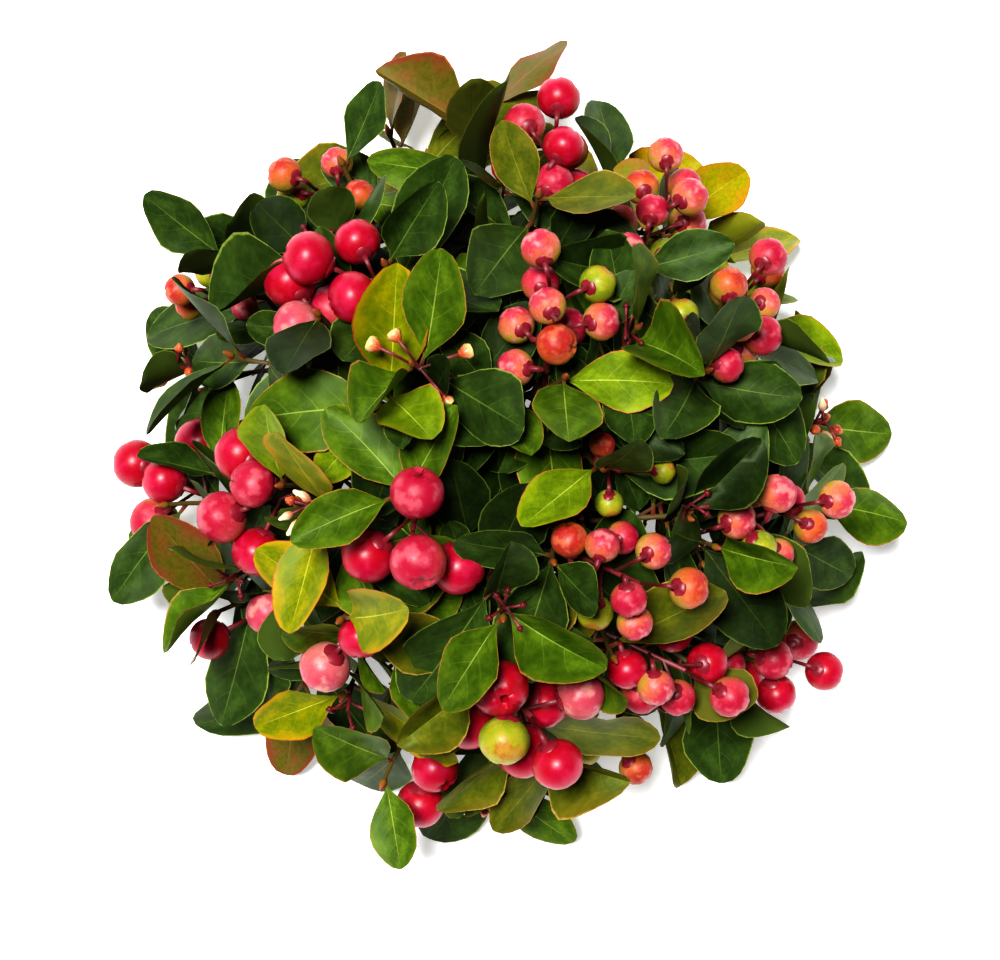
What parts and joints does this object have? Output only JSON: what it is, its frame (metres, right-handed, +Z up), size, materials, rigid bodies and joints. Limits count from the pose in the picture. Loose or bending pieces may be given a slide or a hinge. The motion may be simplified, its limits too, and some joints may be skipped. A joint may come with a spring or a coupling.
{
  "type": "wintergreen plant",
  "caption": "Low evergreen shrub: a short flared stem, boughs that fan out, and rosettes of leathery leaves with clusters of round berries. Rooted in level ground.",
  "frame": {"origin": "middle of the flat cut under the main stem, at ground level", "axes": "+Z up, +X to the picture's right, -Y towards the side at the picture's bottom"},
  "size_m": [0.2274, 0.2324, 0.1328],
  "materials": {
    "bark": "thin brown bark, matt",
    "foliage": "leathery leaves with a soft gloss, and smooth berries"
  },
  "bodies": {
    "root": {"main_stem": "bark", "bough_crown_1": "bark", "bough_crown_2": "bark", "bough_crown_3": "bark", "bough_crown_4": "bark", "bough_crown_5": "bark", "bough_shoulder_1": "bark", "bough_shoulder_2": "bark", "bough_shoulder_3": "bark", "bough_shoulder_4": "bark", "bough_shoulder_5": "bark", "bough_shoulder_6": "bark", "bough_shoulder_7": "bark", "bough_shoulder_8": "bark", "bough_shoulder_9": "bark", "bough_shoulder_10": "bark", "bough_skirt_1": "bark", "bough_skirt_2": "bark", "bough_skirt_3": "bark", "bough_skirt_4": "bark", "bough_skirt_5": "bark", "bough_skirt_6": "bark", "bough_skirt_7": "bark", "bough_skirt_8": "bark", "bough_skirt_9": "bark", "bough_skirt_10": "bark", "bough_skirt_11": "bark", "foliage_crown_1": "foliage", "foliage_crown_2": "foliage", "foliage_crown_3": "foliage", "foliage_crown_4": "foliage", "foliage_crown_5": "foliage", "foliage_shoulder_1": "foliage", "foliage_shoulder_2": "foliage", "foliage_shoulder_3": "foliage", "foliage_shoulder_4": "foliage", "foliage_shoulder_5": "foliage", "foliage_shoulder_6": "foliage", "foliage_shoulder_7": "foliage", "foliage_shoulder_8": "foliage", "foliage_shoulder_9": "foliage", "foliage_shoulder_10": "foliage", "foliage_skirt_1": "foliage", "foliage_skirt_2": "foliage", "foliage_skirt_3": "foliage", "foliage_skirt_4": "foliage", "foliage_skirt_5": "foliage", "foliage_skirt_6": "foliage", "foliage_skirt_7": "foliage", "foliage_skirt_8": "foliage", "foliage_skirt_9": "foliage", "foliage_skirt_10": "foliage", "foliage_skirt_11": "foliage"}
  },
  "joints": []
}
